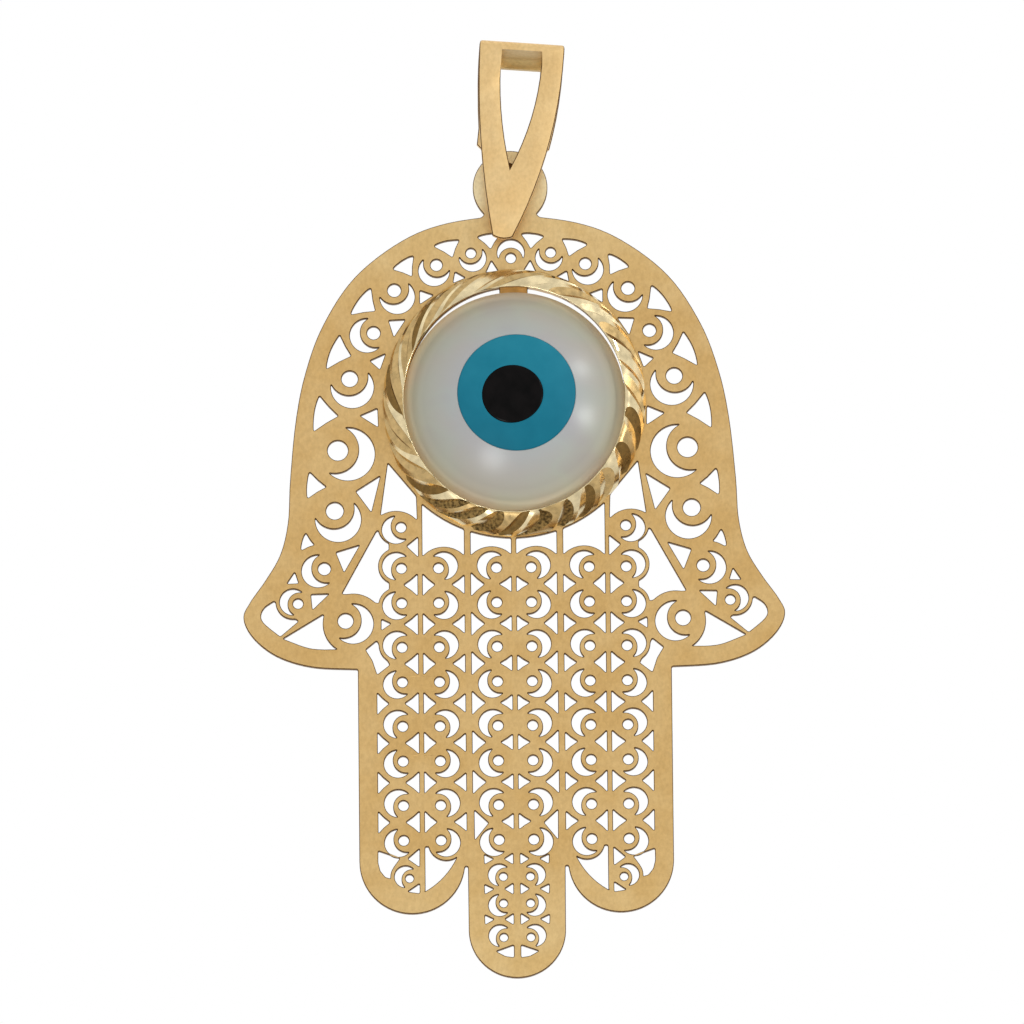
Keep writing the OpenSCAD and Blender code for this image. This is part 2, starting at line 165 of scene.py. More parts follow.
def rough_skin(tree, shader, height, strength, depth):
    """Raises the surface a little where height is white."""
    bump = tree.nodes.new("ShaderNodeBump")
    bump.inputs["Strength"].default_value = strength
    bump.inputs["Distance"].default_value = depth
    tree.links.new(height, bump.inputs["Height"])
    tree.links.new(bump.outputs["Normal"], shader.inputs["Normal"])


# %% Satin gold of the sheet and the strip
GRAIN_DEPTH = 0.00002           # metres
HAND_LOW, HAND_HIGH = -32, 14   # the hand's ends, in mm from the eye


def with_height(tree, low_z, high_z, *stops):
    """A colour that changes with height, from 0 at low_z to 1 at high_z, both in mm from the eye."""
    share = 1 / (high_z - low_z) / MM
    split = tree.nodes.new("ShaderNodeSeparateXYZ")
    low = (0, 0, eye_z + low_z * MM)
    tree.links.new(object_pattern(tree, (share, share, share), low), split.inputs["Vector"])
    return ramp(tree, split.outputs["Z"], *stops)


def satin_gold(name, light, dark, *painted_light_stops):
    """Wheel-finished metal: two tones in soft patches under a fine grain, and, where stops are given,
    painted light and shade by height.
    """
    material, tree, shader = finish(name, Metallic=1.0)
    patches = cloud(tree, object_pattern(tree), 0.0022, 4)
    grain = cloud(tree, object_pattern(tree, (1, 1, 0.75)), 0.00018, 4)
    colour = ramp(tree, patches, (0.36, dark), (0.62, light))
    if painted_light_stops:
        colour = multiply(tree, colour, with_height(tree, HAND_LOW, HAND_HIGH, *painted_light_stops))
    speck = ramp(tree, grain, (0.3, grey(0.84)), (0.7, grey(1.0)))
    tree.links.new(multiply(tree, colour, speck), shader.inputs["Base Color"])
    tree.links.new(ramp(tree, grain, (0.3, grey(0.5)), (0.7, grey(0.4))), shader.inputs["Roughness"])
    rough_skin(tree, shader, grain, 0.3, GRAIN_DEPTH)
    return material


# painted light: by height the sheet is darker through its middle and paler at both ends; near the lobe the
# paler tint is painted light against the shade of the bail in front of it
# the sheet is paler at both ends, as in the photograph
sheet_gold = satin_gold("sheet_gold", (0.99, 0.845, 0.535), (0.92, 0.745, 0.42),
                        (0.0, (0.88, 0.75, 0.56)), (0.16, (0.80, 0.64, 0.43)), (0.8, (0.80, 0.64, 0.44)),
                        (0.915, (0.88, 0.755, 0.58)), (0.94, (1.0, 0.98, 0.95)))
strip_gold = satin_gold("strip_gold", (0.94, 0.675, 0.33), (0.90, 0.62, 0.28))
# painted shade: a darker copy of the strip's gold for the insides of the bail
inner_shade_gold = satin_gold("inner_shade_gold", (0.72, 0.53, 0.24), (0.64, 0.45, 0.18))
print("satin finishes made")

# %% Cut edges and bright cuts
def cut_gold(name, colour, roughness, grain_size, bump, darkest=0.7):
    """Bare metal with a grain of this size in metres, whose dark parts have this share of the colour."""
    material, tree, shader = finish(name, Metallic=1.0)
    grain = cloud(tree, object_pattern(tree), grain_size, 3)
    dark = tuple(c * darkest for c in colour)
    tree.links.new(ramp(tree, grain, (0.35, dark), (0.65, colour)), shader.inputs["Base Color"])
    low, high = grey(roughness * 0.7), grey(roughness * 1.3)
    tree.links.new(ramp(tree, grain, (0.3, low), (0.7, high)), shader.inputs["Roughness"])
    rough_skin(tree, shader, grain, bump, GRAIN_DEPTH)
    return material


# partly the saw's rough finish and partly painted shade: the rounded edges are near black and the gaps'
# walls dark, for the shade and dark reflection along every outline
edge_shade_gold = cut_gold("edge_shade_gold", (0.13, 0.06, 0.018), 0.55, 0.0002, 0.4)
sawn_and_shaded_gold = cut_gold("sawn_and_shaded_gold", (0.28, 0.16, 0.055), 0.5, 0.0002, 0.4)
# painted light and shade: the collar's facets are lit and shaded copies of one gold, a painted glint, a
# half shade, painted shade, and the darkest painted shade with a speckled grain
painted_glint_gold = cut_gold("painted_glint_gold", (1.0, 0.83, 0.50), 0.2, 0.0006, 0.06)
half_shade_gold = cut_gold("half_shade_gold", (0.70, 0.49, 0.215), 0.3, 0.0004, 0.15)
shaded_gold = cut_gold("shaded_gold", (0.27, 0.16, 0.05), 0.3, 0.0003, 0.3)
speckled_shade_gold = cut_gold("speckled_shade_gold", (0.36, 0.23, 0.08), 0.4, 0.00016, 1.0, 0.2)
# painted shade: the collar's inner wall is a darker gold for the shade in its recess
wall_shade_gold = cut_gold("wall_shade_gold", (0.72, 0.48, 0.20), 0.4, 0.0003, 0.2)
print("cut finishes made")

# %% [markdown]
# ## The flat drawing
# A pierced sheet is a flat line drawing with a thickness. Each gap is one closed line: crescents and
# round holes for the scrolls, and small three-cornered gaps between them. Blender fills such a drawing
# as a flat curve, gives it a thickness and rounds its edges in one go. Drawing it by rules keeps the
# rows regular, as the jeweller's cutter does, and the few odd gaps of the thumb are listed one by one.

# %% Points, arcs and softened corners
def polar(centre, radius, degrees):
    turn = math.radians(degrees)
    return Vector((centre[0] + radius * math.cos(turn), centre[1] + radius * math.sin(turn)))


def arc(centre, radius, start, end, step=0.08):
    count = max(4, round(abs(math.radians(end - start)) * radius / step))
    return [polar(centre, radius, start + (end - start) * i / count) for i in range(count + 1)]


def turned(vector, degrees):
    return Matrix.Rotation(math.radians(degrees), 2) @ vector


def dense(points, step=0.04):
    """The closed line with a point at every step."""
    walk = []
    for a, b in zip(points, points[1:] + points[:1]):
        count = max(1, round((b - a).length / step))
        walk += [a.lerp(b, i / count) for i in range(count)]
    return walk


def thinned(points, tolerance=0.003):
    """Leaves out points that lie on the straight line between their neighbours."""
    kept, start = [points[0]], 0
    for i in range(2, len(points) + 1):
        a, b = points[start], points[i % len(points)]
        chord = b - a
        off = max(abs(chord.x * (p.y - a.y) - chord.y * (p.x - a.x)) for p in points[start + 1:i])
        if off > tolerance * chord.length:
            start = i - 1
            kept.append(points[start])
    return kept


# points closer than this many mm are one, and a turn sharper than this many radians is a spur
SAME, SPUR_TURN = 0.008, 1.9


def without_spurs(points):
    """Leaves out points where the line turns straight back on itself."""
    kept, i = list(points), 0
    while i < len(kept):
        before, p, after = kept[i - 1], kept[i], kept[(i + 1) % len(kept)]
        if (p - before).length < SAME or (p - before).angle(after - p, 0) > SPUR_TURN:
            kept.pop(i)
            i = max(0, i - 2)
        else:
            i += 1
    return kept


def softened(points, reach=2):
    """Rounds the corners as a cutter with a fine point leaves them."""
    walk = dense(points)
    count = len(walk)
    width = 2 * reach + 1
    mean = [sum((walk[(i + k) % count] for k in range(-reach, reach + 1)), Vector((0, 0))) / width
            for i in range(count)]
    return without_spurs(thinned(without_spurs(mean)))


def pushed_out(points, *discs):
    """Moves each point that lies in a disc (centre, radius) out to the disc's edge."""
    for centre, radius in discs:
        c = Vector(centre)
        points = [c + (p - c).normalized() * max(radius, (p - c).length) for p in points]
    return points


def drawn_in(points, centre, radius):
    """Moves each point that lies outside a disc in to its edge."""
    c = Vector(centre)
    return [c + (p - c).normalized() * min(radius, (p - c).length) for p in points]


def flipped(points):
    return [Vector((-p.x, p.y)) for p in reversed(points)]


print("a crescent's arc has", len(arc((0, 0), 0.77, -113, 113)), "points")

# %% The outline of the hand
PALM_HALF, ARCH, THUMB = 12.24, 10.5, 14.6
BORDER = 1.05
FINGERS, MIDDLE, NOTCH = 8.55, 2.65, 0.15
OUTER_TIP, MIDDLE_TIP = 25.2, 29.0
# right half of the palm's edge from the top to the fingers, as shares: [across, up]
RIM = [
    [0, 1], [0.285, 0.955], [0.49, 0.861], [0.699, 0.671], [0.842, 0.418], [0.922, 0.166],
    [0.966, -0.062], [0.993, -0.288], [1.003, -0.44], [1.038, -0.562], [1.105, -0.66],
    [1.176, -0.744], [1.205, -0.805], [1.16, -0.88], [1.055, -0.949], [0.9, -0.99], [0.698, -1]]


def place(across, up):
    return Vector((across * PALM_HALF, up * (THUMB if up < 0 else ARCH)))


def curve_through(knots, steps=6):
    """A smooth line through the knots."""
    line = []
    for i in range(len(knots) - 1):
        a, b, c, d = (knots[min(max(i + k, 0), len(knots) - 1)] for k in (-1, 0, 1, 2))
        for t in (j / steps for j in range(steps)):
            line.append(0.5 * (2 * b + (c - a) * t + (2 * a - 5 * b + 4 * c - d) * t * t
                               + (3 * b - a - 3 * c + d) * t ** 3))
    return line + [knots[-1]]


rim = curve_through([place(*share) for share in RIM])
inner_rim = [p + BORDER * turned((b - a).normalized(), -90)
             for a, p, b in zip(rim, rim[1:], rim[2:])]
tip_r = (FINGERS - MIDDLE - NOTCH) / 2
tip_c = Vector((FINGERS - tip_r, -OUTER_TIP))
lobe_c = Vector((0, LOBE_UP))
free_rim = [p for p in rim if (p - lobe_c).length > LOBE_R]
neck = math.degrees(math.atan2(free_rim[0].y - LOBE_UP, free_rim[0].x))
right_side = (arc(lobe_c, LOBE_R, 90, neck) + free_rim
              + arc(tip_c, tip_r, 0, -174) + [Vector((MIDDLE, -OUTER_TIP - 2 * NOTCH))]
              + arc((0, -MIDDLE_TIP), MIDDLE - 0.01, 0, -90))
outline = softened(right_side[1:-1] + flipped(right_side)[:-1])
print("outline:", len(outline), "points")

# %% Scrolls: a crescent and a round hole
gaps = []
SCROLL_WALL = 0.23


def crescent(centre, radius, facing, shift, bite):
    """One circle bitten by another, which lies away from the way the crescent faces."""
    x = (bite ** 2 - 1 - shift ** 2) / (2 * shift)
    y = math.sqrt(1 - x * x)
    outer, inner = math.degrees(math.atan2(y, x)), math.degrees(math.atan2(y, x + shift))
    biter = polar(centre, -shift * radius, facing)
    return (arc(centre, radius, facing - outer, facing + outer)
            + arc(biter, bite * radius, facing + inner, facing - inner)[1:-1])


def cut(points, both=True):
    """Adds a gap, and its mirror image on the other side of the hand."""
    gaps.append(points)
    if both:
        gaps.append(flipped(points))


def cut_scroll(centre, radius, facing, shift=0.63, bite=0.95, hole=0.37, both=True):
    cut(softened(crescent(centre, radius, facing, shift, bite)), both)
    cut(thinned(arc(polar(centre, -0.4 * radius, facing), hole * radius, 0, 360, 0.04)[:-1]), both)


# scrolls of the palm, right half: [across, up, radius as a share of PALM_HALF, way it faces]
SCROLLS = [
    [0, 0.796, 0.0605, 90], [0.17, 0.769, 0.06, -109], [0.343, 0.705, 0.0694, -67],
    [0.508, 0.57, 0.078, -115], [0.644, 0.367, 0.0772, -20], [0.712, 0.096, 0.0956, -107],
    [0.734, -0.185, 0.1197, -160], [0.78, -0.432, 0.1021, -111], [0.871, -0.627, 0.0735, -19],
    [0.984, -0.743, 0.0592, 20], [0.717, -0.827, 0.09, -160]]
scrolls = [(place(across, up), share * PALM_HALF, way) for across, up, share, way in SCROLLS]
for centre, radius, way in scrolls:
    cut_scroll(centre, radius, way, 0.52, 0.91, 0.38, both=centre.x > 0)
print("palm:", len(gaps), "gaps so far")

# %% Gaps between the chain of scrolls and the border
# opening of each gap against the border: [degrees back, degrees on]
OPENINGS = [[40, 40], [39, 41], [40, 34], [42, 46], [46, 44], [44, 36], [34, 40], [34, 44]]
RAY = 30                # longer than the hand is wide
BULGE, BOW = 0.11, 0.05     # how far a gap's side on the border bulges, and its other sides bow in


def crossing(start, way, line):
    """Where a ray meets a line of points: the segment's index and the point."""
    for i, (a, b) in enumerate(zip(line, line[1:])):
        hit = geometry.intersect_line_line_2d(start, start + way * RAY, a, b)
        if hit is not None:
            return i, hit


window = [Vector((0, -THUMB))] + inner_rim
for i, (back, on) in enumerate(OPENINGS):
    (p, rp, _), (q, rq, _) = scrolls[i], scrolls[i + 1]
    out = turned((q - p).normalized(), 90)
    apex = p + (q - p) * rp / (rp + rq) + out * (0.25 if i < 6 else 0.33) * (rp + rq)
    first, near = crossing(apex, turned(out, back), window)
    last, far = crossing(apex, turned(out, -on), window)
    border = curve_through([near] + window[first + 1:last + 1] + [far], 3)
    border = [b + out * BULGE * math.sin(math.pi * k / (len(border) - 1)) for k, b in enumerate(border)]
    bow = BOW * (far - near).normalized()
    wedge = dense([apex, (apex + near) / 2 + bow] + border + [(apex + far) / 2 - bow])
    cut(softened(pushed_out(wedge, (p, rp + SCROLL_WALL), (q, rq + SCROLL_WALL))))
print("with the wedges:", len(gaps), "gaps")

# %% Gaps listed one by one, right half, in mm from the eye
# small gaps between the chain of scrolls and the collar
CHAIN_GAPS = [
    [[1.06, 7.94], [1.37, 7.27], [1.02, 7.27], [0.69, 7.35]],
    [[3.05, 7.33], [2.49, 7.0], [3.16, 6.72]], [[4.98, 6.32], [4.24, 6.05], [4.98, 5.57]],
    [[6.7, 4.67], [5.79, 4.71], [6.42, 3.76]], [[7.74, 2.45], [6.89, 2.83], [7.2, 1.96]],
    [[8.3, -0.59], [7.36, -0.19], [7.33, -1.22]], [[7.24, -3.93], [8.57, -4.77], [7.74, -5.92]],
    [[8.39, -7.74], [9.68, -8.13], [9.25, -9.23]]]
# the thumb's small gaps, and the small ones beside the fingers and in the fingertips
SMALL_GAPS = [
    [[11.06, -10.44], [10.08, -10.42], [10.98, -11.28]],
    [[11.94, -9.2], [12.37, -9.84], [11.74, -9.82]],
    [[7.23, -11.84], [6.72, -12.09], [7.24, -12.45]], [[5.21, -7.32], [5.83, -7.82], [5.21, -8.42]],
    [[2.27, -22.41], [1.51, -23.12], [2.26, -24.04]],
    [[5.28, -24.5], [5.92, -25.05], [5.29, -25.5]],
    [[5.29, -26.42], [5.94, -26.86], [5.29, -26.96]]]
# pairs in the middle fingertip, inner and outer corners at three heights
TIP_ROWS = [-25.1, -26.75, -28.42]
for corners in CHAIN_GAPS + SMALL_GAPS:
    cut(softened([Vector(c) for c in corners]))
for z in TIP_ROWS:
    cut(softened([Vector((0.2, z + 0.31)), Vector((0.68, z)), Vector((0.2, z - 0.3))]))
    cut(softened([Vector((1.76, z + 0.25)), Vector((1.25, z)), Vector((1.74, z - 0.28))]))
cut(softened([Vector(c) for c in [[0.2, -29.84], [1.16, -30.18], [0.67, -30.45], [0.2, -30.52]]]))
print("with the small gaps:", len(gaps), "gaps")

# %% Large gaps of the thumb and of the side
COLUMNS = [[0.143, 1], [0.447, -1], [0.749, 1]]  # [share of FINGERS, 1 faces outwards, -1 inwards]
FIELD_TOP, PITCH, FIELD_R, ROWS = 8.92, 2.18, 0.765, 8
COLUMN_R = FIELD_R + SCROLL_WALL
THIN, THICK = 0.29, 0.37
column_x = [share * FINGERS for share, _ in COLUMNS]
thick_x, thin_x = (column_x[0] + column_x[1]) / 2, (column_x[1] + column_x[2]) / 2


def row_z(i):
    return -FIELD_TOP - i * PITCH


def in_column(c, *rows):
    return [((column_x[c], row_z(i)), COLUMN_R) for i in rows]


def cut_shape(corners, *discs):
    cut(softened(pushed_out(dense([Vector(c) for c in corners]), *discs)))


thumb_disc = (scrolls[9][0], scrolls[9][1] + SCROLL_WALL)
hub_disc = (scrolls[10][0], scrolls[10][1] * 1.51)
waist = column_x[2] + 0.41 * COLUMN_R
cut_shape(curve_through([place(*s) for s in [[1.068, -0.739], [1.111, -0.764], [1.127, -0.795],
                                             [1.111, -0.825], [1.042, -0.873]]])
          + [place(0.961, -0.816)], thumb_disc)
cut_shape([place(0.85, -0.791)] + curve_through([place(*s) for s in [
    [1.03, -0.8815], [0.931, -0.914], [0.866, -0.923], [0.789, -0.923]]]), hub_disc)
cut_shape([place(0.609, -0.477), place(0.766, -0.714), place(0.704, -0.7185), (7.47, -10.95),
           (waist, row_z(0.9)), (waist, place(0, -0.477).y)], *in_column(2, -1, 0, 1), hub_disc)
cut_shape([place(0.613, -0.8925), place(0.6626, -0.926), place(0.633, -0.966), place(0.612, -1.02),
           (waist, row_z(2.5))], *in_column(2, 2, 3))
print("with the side:", len(gaps), "gaps")

# %% Windows between the eye and the fingers
EYE_BAND = 7.42
ARC_DROP, ARC_R, ARC_STEPS = 0.506, 1.556, 8    # the flat arc over a scroll


def under_eye(x0, x1):
    """Points along the band under the eye, from x0 to x1."""
    return [Vector((x, -math.sqrt(EYE_BAND ** 2 - x * x)))
            for x in (x0 + (x1 - x0) * i / ARC_STEPS for i in range(ARC_STEPS + 1))]


def over_scroll(x0, x1, column, row):
    """Points along the flat arc above a scroll, from x0 to x1."""
    x, low = column_x[column], row_z(row) - ARC_DROP
    return [Vector((u, low + math.sqrt(ARC_R ** 2 - (u - x) ** 2)))
            for u in (x0 + (x1 - x0) * i / ARC_STEPS for i in range(ARC_STEPS + 1))]


for x0, x1, column in ((THIN / 2, thick_x - THICK / 2, 0), (thick_x + THICK / 2, thin_x - THIN / 2, 1)):
    cut_shape(under_eye(x0, x1) + over_scroll(x1, x0, column, 0))
cut_shape([(6.81, -3.22), (5.3, -5.04)] + over_scroll(thin_x + THIN / 2, 7.23, 2, -0.92))
print("with the windows:", len(gaps), "gaps")

# %% Scrolls and corner gaps of the fingers
TILT = 25
# corner gaps beside each column: [bar's edge towards the middle, its width and half height,
# bar's edge on the far side, its width and half height]
CORNERS = [
    [0.15, 0.66, 0.44, thick_x - THICK / 2, 0.73, 0.65],
    [thick_x + THICK / 2, 0.68, 0.52, thin_x - THIN / 2, 0.67, 0.6],
    [thin_x + THIN / 2, 0.75, 0.6, FINGERS - BORDER, 0.64, 0.6]]


def corner_gap(x, z, width, half):
    """A three-cornered gap with its base on a bar at x, and sides that bow in a little."""
    base = [Vector((x, z + half)), Vector((x, z - half))]
    apex = Vector((x + width, z))
    bow = Vector((-BOW if width > 0 else BOW, 0))
    cut(softened([base[0], (base[0] + apex) / 2 + bow, apex, (base[1] + apex) / 2 + bow, base[1]]))


for c, (share, way) in enumerate(COLUMNS):
    inner_x, inner_w, inner_h, outer_x, outer_w, outer_h = CORNERS[c]
    for i in range(ROWS):
        up = TILT if i % 2 == 0 else -TILT
        cut_scroll((column_x[c], row_z(i)), FIELD_R, up if way > 0 else 180 - up)
        if i < ROWS - 1:
            z = row_z(i + 0.5) + 0.05       # a hair above the middle between two rows
            corner_gap(inner_x, z, inner_w, inner_h)
            if (c < 2 or i > 2) and not (c == 0 and i == ROWS - 2):
                corner_gap(outer_x, z, -outer_w, outer_h)
cut_scroll((column_x[2], row_z(-0.92)), FIELD_R, -TILT)
print("with the fingers:", len(gaps), "gaps")

# %% Fingertips
TIP_R, TIP_PITCH = 0.6, 1.67
tip_scroll = tip_c + tip_r * Vector((0.13, -0.29))
cut_scroll(tip_scroll, TIP_R, TILT)
for i in range(3):
    z = row_z(ROWS - 1) - TIP_PITCH * (1.08 + i)
    cut_scroll((MIDDLE * 0.36, z), TIP_R, -TILT if i == 1 else TILT)

# the large gap fills the inner half of the round fingertip, between a wide arc and the last scroll
bar = thin_x - THIN / 2
wide_c, wide_r = tip_c + tip_r * Vector((0.47, 0.69)), 1.45 * tip_r
points = dense([Vector(c) for c in [(bar, -24.4), (3.0, -24.4), (3.0, -28), (bar, -28)]])
for _ in range(6):
    points = pushed_out(drawn_in(points, wide_c, wide_r), *in_column(1, ROWS - 1))
cut(softened(points))
cut_shape([(7.52, -24.6), (6.35, -25.02), (6.7, -25.5), (6.85, -26.13), (7.15, -26.05), (7.42, -25.7),
           (7.53, -25.25)], (tip_scroll, TIP_R + SCROLL_WALL))
print("the whole pattern:", len(gaps), "gaps")

# %% [markdown]
# ## The eye's opening
# The collar stands round a hole in the sheet, and the stone rests in it on four small tabs. In the
# photograph only the top tab shows, with a slit of light on each side of it, so the hole is drawn
# with its tabs as one line and the light comes through the real gap.

# %% Opening with its seat tabs
HOLE_UP, HOLE_R = 12.07, 1.2
OPENING_R, TAB_HALF, TAB_TIP, TAB_TURN = 6.02, 0.77, 5.15, 0.5
# the collar's centre from the palm's middle, and the opening's a little further right and up
EYE_RIGHT, EYE_UP = 0.12, 0.04
OPENING_RIGHT, OPENING_UP = EYE_RIGHT + 0.06, EYE_UP + 0.2
OVAL = 1.03     # the collar and its hole are a little taller than wide
lean = math.degrees(math.asin(TAB_HALF / OPENING_R))
opening = []
for quarter in (0, 90, 180, 270):
    opening += arc((0, 0), OPENING_R, quarter + lean, quarter + 90 - lean, 0.15)
    opening += [turned(Vector((TAB_TIP, side_y)), quarter + 90) for side_y in (-TAB_HALF, TAB_HALF)]
opening = [turned(p, TAB_TURN) for p in softened(opening, 1)]
cut([Vector((p.x + OPENING_RIGHT, p.y * OVAL + OPENING_UP)) for p in opening], both=False)
cut(thinned(arc((0, HOLE_UP), HOLE_R, 0, 360)[:-1]), both=False)

# %% [markdown]
# ## The pierced sheet
# The drawing becomes a flat curve filled on both sides. Its extrusion is half the sheet's thickness,
# less the rounding, and a negative offset keeps the rounded edge inside the drawn line. Then it is
# made a mesh, so that the rounded edges and the walls of the gaps can carry the darker finishes, partly
# the saw's rough edge and partly painted shade along every outline.

# %% Fill the drawing and give it a thickness
SHEET, ROUNDING = 0.45, 0.038


def flat_piece(name, lines, thickness, rounding):
    """A sheet with these closed lines as its outline and gaps, its middle in the XY plane."""
    drawing = bpy.data.curves.new(name, "CURVE")
    drawing.dimensions, drawing.fill_mode = "2D", "BOTH"
    for line in lines:
        spline = drawing.splines.new("POLY")
        spline.points.add(len(line) - 1)
        spline.points.foreach_set("co", [v for p in line for v in (p.x, p.y, 0, 1)])
        spline.use_cyclic_u = True
    drawing.extrude = thickness / 2 - rounding
    drawing.bevel_depth, drawing.bevel_resolution = rounding, 0
    drawing.offset = -rounding
    holder = bpy.data.objects.new(name, drawing)
    mesh = bpy.data.meshes.new_from_object(holder)
    bpy.data.objects.remove(holder)
    bm = bmesh.new()
    bm.from_mesh(mesh)
    bmesh.ops.remove_doubles(bm, verts=bm.verts, dist=0.0005)
    bmesh.ops.dissolve_degenerate(bm, edges=bm.edges, dist=0.002)
    bmesh.ops.recalc_face_normals(bm, faces=bm.faces)
    # flat faces take the satin gold; the rounded edges and the gaps' walls take the dark finishes, partly
    # painted shade
    for face in bm.faces:
        face.smooth = True
        flat = abs(face.normal.z)
        face.material_index = 0 if flat > 0.95 else 1 if flat > 0.2 else 2
    bm.to_mesh(mesh)
    bm.free()
    mesh.set_sharp_from_angle(angle=math.radians(40))
    return mesh


sheet_mesh = flat_piece("pierced_sheet", [outline] + gaps, SHEET, ROUNDING)
stand_up(sheet_mesh, hand_at, sheet_back - SHEET / 2 * MM)
pierced_sheet = show("pierced_sheet", sheet_mesh, sheet_gold, edge_shade_gold, sawn_and_shaded_gold)

# %% [markdown]
# ## The collar of bright cuts
# The collar is a ring with a sloping side. A fast cutter shaves it at a slant all the way round, so
# its facets lie like the strands of a rope: long at the upper left, short and steep low on the right.
# A profile is spun round the eye, and each line of vertices is then twisted and set in or out.

# %% Spin the collar and cut it
CUTS, CUT_DEPTH, FOOT_R, CREST_R, COLLAR_H = 28, 0.19, 7.19, 6.11, 1.4
# the ring's profile from the inner wall's foot: [radius, height, how far along the cut]
PROFILE = [[6.22, -0.45, 1], [6.22, 0.62, 1], [6.04, 1.36, 1], [6.07, COLLAR_H, 1]]
WALL_LEVELS, SLOPE_STEPS = len(PROFILE), 12
for i in range(SLOPE_STEPS + 1):
    turn = math.radians(90 * i / SLOPE_STEPS)
    share = 1 - i / SLOPE_STEPS
    PROFILE.append([CREST_R + (FOOT_R - CREST_R) * math.sin(turn) ** 1.4, COLLAR_H * math.cos(turn) ** 1.4,
                    share])
PROFILE.append([FOOT_R, -0.06, 0])
# where a cut's three lines lie, as a share of the way to the next cut, and how deep
LINES = [[0, 0], [0.36, 1], [0.78, 0.2]]
chance = random.Random(7)
wander = [chance.uniform(-0.16, 0.16) for _ in range(CUTS)]
deep = [chance.uniform(0.8, 1.3) for _ in range(CUTS)]
ends = [(chance.uniform(-0.35, 0.1), chance.uniform(0.9, 1.35)) for _ in range(CUTS)]
# cuts are counted anticlockwise from the right. Their facets carry painted light and shade: the painted
# shade is heavier on the left and low down, and darkest, with a speckled grain, on five cuts low down
LEFT_SHADE, LOW_SHADE, DARKEST_SHADE = range(8, 15), range(15, 27), (17, 18, 19, 21, 22)
# the collar's finishes, in their order on the piece: the painted glint, the half shade, the painted shade,
# the darkest speckled shade and the wall
GLINT, HALF_SHADE, SHADED, SPECKLED_SHADE, WALL = range(5)


def facets_of(number):
    """The painted light and shade of a cut's three facets."""
    by_turns = (GLINT, HALF_SHADE)[number % 2]
    if number in DARKEST_SHADE:
        return [GLINT, SPECKLED_SHADE, by_turns]
    if number in LOW_SHADE:
        return [GLINT, SHADED if number % 3 else HALF_SHADE, by_turns]
    if number in LEFT_SHADE:
        return [SHADED, HALF_SHADE if number % 3 else SHADED, by_turns]
    return [SHADED if number % 3 else HALF_SHADE, by_turns, GLINT]


def twist_at(angle):
    """How far round the ring a cut runs, in degrees, from its foot to the crest."""
    return 25 + 13 * math.cos(math.radians(angle - 115))


def open_at(number, share):
    """How wide a cut is open: 1 in its middle, and close to 0 at its two pointed ends."""
    low, high = ends[number]
    return max(0.1, math.sin(math.pi * min(max((share - low) / (high - low), 0), 1))) ** 0.8


def spin_round(bm, profile, steps, closed=False):
    """Spins a profile of (radius, height) once round the axis."""
    verts = [bm.verts.new((radius, 0, height)) for radius, height in profile]
    edges = [bm.edges.new(pair) for pair in zip(verts, verts[1:])]
    if closed:
        edges.append(bm.edges.new((verts[-1], verts[0])))
    bmesh.ops.spin(bm, geom=verts + edges, cent=(0, 0, 0), axis=(0, 0, 1), angle=math.tau,
                   steps=steps, use_merge=True)
    bmesh.ops.remove_doubles(bm, verts=bm.verts, dist=0.0005)


bm = bmesh.new()
steps = CUTS * len(LINES)
spin_round(bm, [(radius, height) for radius, height, _ in PROFILE], steps)
place_of = {}
for v in bm.verts:
    level = min(range(len(PROFILE)),
                key=lambda k: math.hypot(PROFILE[k][0] - v.co.xy.length, PROFILE[k][1] - v.co.z))
    place_of[v] = (level, round(math.degrees(math.atan2(v.co.y, v.co.x)) * steps / 360) % steps)
for v, (level, line) in place_of.items():
    radius, height, share = PROFILE[level]
    number, part = divmod(line, len(LINES))
    along, cut_in = LINES[part]
    if level < WALL_LEVELS:
        cut_in = 0
    else:
        wide = open_at(number, share)
        along, cut_in = along * wide, cut_in * wide * CUT_DEPTH * deep[number]
    after = wander[(number + 1) % CUTS]
    start = (number + along + wander[number] * (1 - along) + after * along) * 360 / CUTS
    at = polar((0, 0), radius - 0.8 * cut_in, start + twist_at(start) * share)
    v.co = (at.x, at.y * OVAL, height - 0.6 * cut_in)
bmesh.ops.recalc_face_normals(bm, faces=bm.faces)
for face in bm.faces:
    face.smooth = True
    levels = [place_of[v][0] for v in face.verts]
    lines = sorted({place_of[v][1] for v in face.verts})
    number, part = divmod(lines[0] if lines[-1] - lines[0] == 1 else lines[-1], len(LINES))
    # the inner wall takes its painted shade, and the facets of the slope their painted light and shade
    if max(levels) <= 2:
        face.material_index = WALL
    elif min(levels) >= WALL_LEVELS:
        face.material_index = facets_of(number)[part]
# sharp edges lie along the lines of each cut, and round the ring at its lip and crest
for edge in bm.edges:
    (level_a, line_a), (level_b, line_b) = (place_of[v] for v in edge.verts)
    edge.smooth = not (line_a == line_b and min(level_a, level_b) >= WALL_LEVELS
                       or line_a != line_b and level_a in (1, 2, 4))
collar_mesh = mesh_from(bm, "bright_collar")
stand_up(collar_mesh, (eye_x + EYE_RIGHT * MM, eye_z + EYE_UP * MM), sheet_back - SHEET * MM)
bright_collar = show("bright_collar", collar_mesh, painted_glint_gold, half_shade_gold, shaded_gold, speckled_shade_gold,
                     wall_shade_gold)

# %% [markdown]
# ## The eye
# The eye is a dome of mother of pearl with a blue ring and a black disc let into it, all ground to one
# curve. Each is a profile spun round the eye's axis. The seams are rounded by a hair, so that light
# catches them. The pupil is set by hand and isn't quite round or central.

# %% Finishes of the eye
PEARL_C = (stone_at[0], 0, stone_at[1])


